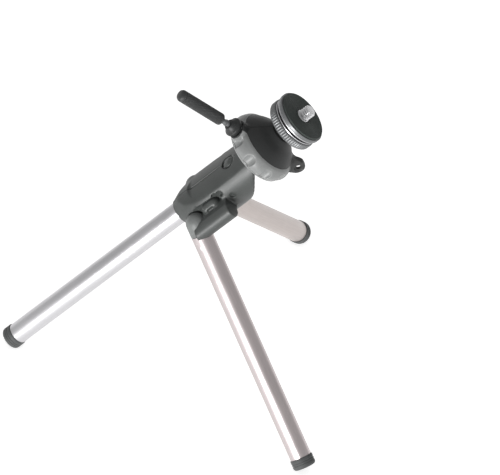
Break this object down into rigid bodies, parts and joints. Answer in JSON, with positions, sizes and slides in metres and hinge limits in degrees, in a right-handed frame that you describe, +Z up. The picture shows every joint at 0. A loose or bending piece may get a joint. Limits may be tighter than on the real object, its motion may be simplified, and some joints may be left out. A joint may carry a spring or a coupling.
{
  "type": "table-top tripod",
  "caption": "Small folding table-top tripod: tube legs on a moulded body, and a turning, tilting head with a clamp handle, lock ring, padded disc and threaded camera stud.",
  "frame": {"origin": "centre of the object's bounding box in plan, on the table surface its feet stand on", "axes": "+Z up; +X is the way the head leans, away from the fixed leg; Y runs across, leg b on the -Y side"},
  "size_m": [0.1564, 0.1826, 0.1807],
  "materials": {
    "satin_aluminium": "satin anodised",
    "moulded_dark": "fine matt texture",
    "moulded_black": "semi-matt",
    "foot_rubber": "matt",
    "pad_rubber": "matt",
    "black_metal": "black anodised",
    "steel": "plated"
  },
  "bodies": {
    "body": {"body_shell_b_side": "moulded_dark", "body_shell_c_side": "moulded_dark", "body_screws": "steel", "leg_a_tube": "satin_aluminium", "leg_a_plug": "moulded_black", "leg_a_lock_pin": "steel", "leg_a_foot": "foot_rubber"},
    "leg_b": {"leg_b_knuckle": "moulded_dark", "leg_b_tube": "satin_aluminium", "leg_b_foot": "foot_rubber", "leg_b_rivet": "steel", "leg_b_pivot_pin": "steel", "leg_b_spring_washer": "steel", "leg_b_pivot_nut": "steel"},
    "leg_c": {"leg_c_knuckle": "moulded_dark", "leg_c_tube": "satin_aluminium", "leg_c_foot": "foot_rubber", "leg_c_rivet": "steel", "leg_c_pivot_pin": "steel", "leg_c_spring_washer": "steel", "leg_c_pivot_nut": "steel"},
    "head": {"pan_post": "steel", "pan_washer": "steel", "pan_nut": "steel", "pan_collar": "moulded_black", "head_shell_b_side": "moulded_black", "head_shell_c_side": "moulded_black", "head_screws": "steel", "ball_seat": "moulded_black"},
    "plunger": {"clamp_plunger": "moulded_black"},
    "handle": {"clamp_screw": "steel", "clamp_collar": "moulded_black", "handle_grip": "foot_rubber"},
    "platform": {"ball": "moulded_black", "camera_stud": "steel", "platform_disc": "black_metal", "platform_hub": "black_metal", "platform_trim": "black_metal", "rubber_pad": "pad_rubber"},
    "thrust_ring": {"thrust_washer": "black_metal"},
    "lock_ring": {"lock_ring": "black_metal"}
  },
  "joints": [
    {"name": "leg_b_fold", "type": "hinge", "parent": "body", "child": "leg_b", "pos_m": [0.01474, -0.014, 0.09873], "axis": [0.4178, 0.827, -0.3762], "range_deg": [0, 76.34]},
    {"name": "leg_c_fold", "type": "hinge", "parent": "body", "child": "leg_c", "pos_m": [0.01474, 0.014, 0.09873], "axis": [-0.4178, 0.827, 0.3762], "range_deg": [0, 76.34]},
    {"name": "head_pan", "type": "hinge", "parent": "body", "child": "head", "pos_m": [0.03789, 0, 0.13043], "axis": [0.6691, 0, 0.7431], "continuous": true},
    {"name": "head_tilt", "type": "hinge", "parent": "head", "child": "platform", "pos_m": [0.05328, 0, 0.14752], "axis": [-0.7359, -0.1392, 0.6626], "range_deg": [-30, 30]},
    {"name": "plunger_travel", "type": "slide", "parent": "head", "child": "plunger", "axis": [-0.7359, -0.1392, 0.6626], "range_m": [0, 0.0008]},
    {"name": "handle_turn", "type": "hinge", "parent": "plunger", "child": "handle", "pos_m": [0.04592, 0, 0.13935], "axis": [-0.7359, -0.1392, 0.6626], "range_deg": [0, 360]},
    {"name": "ring_travel", "type": "slide", "parent": "platform", "child": "thrust_ring", "axis": [0.6691, 0, 0.7431], "range_m": [0, 0.0009525]},
    {"name": "ring_turn", "type": "hinge", "parent": "thrust_ring", "child": "lock_ring", "pos_m": [0.0593, 0, 0.15421], "axis": [0.6691, 0, 0.7431], "range_deg": [0, 270]}
  ],
  "couplings": [
    {"joint": "handle_turn", "follows": "plunger_travel", "rad_per_m": 7854},
    {"joint": "ring_turn", "follows": "ring_travel", "rad_per_m": 4947.4}
  ]
}
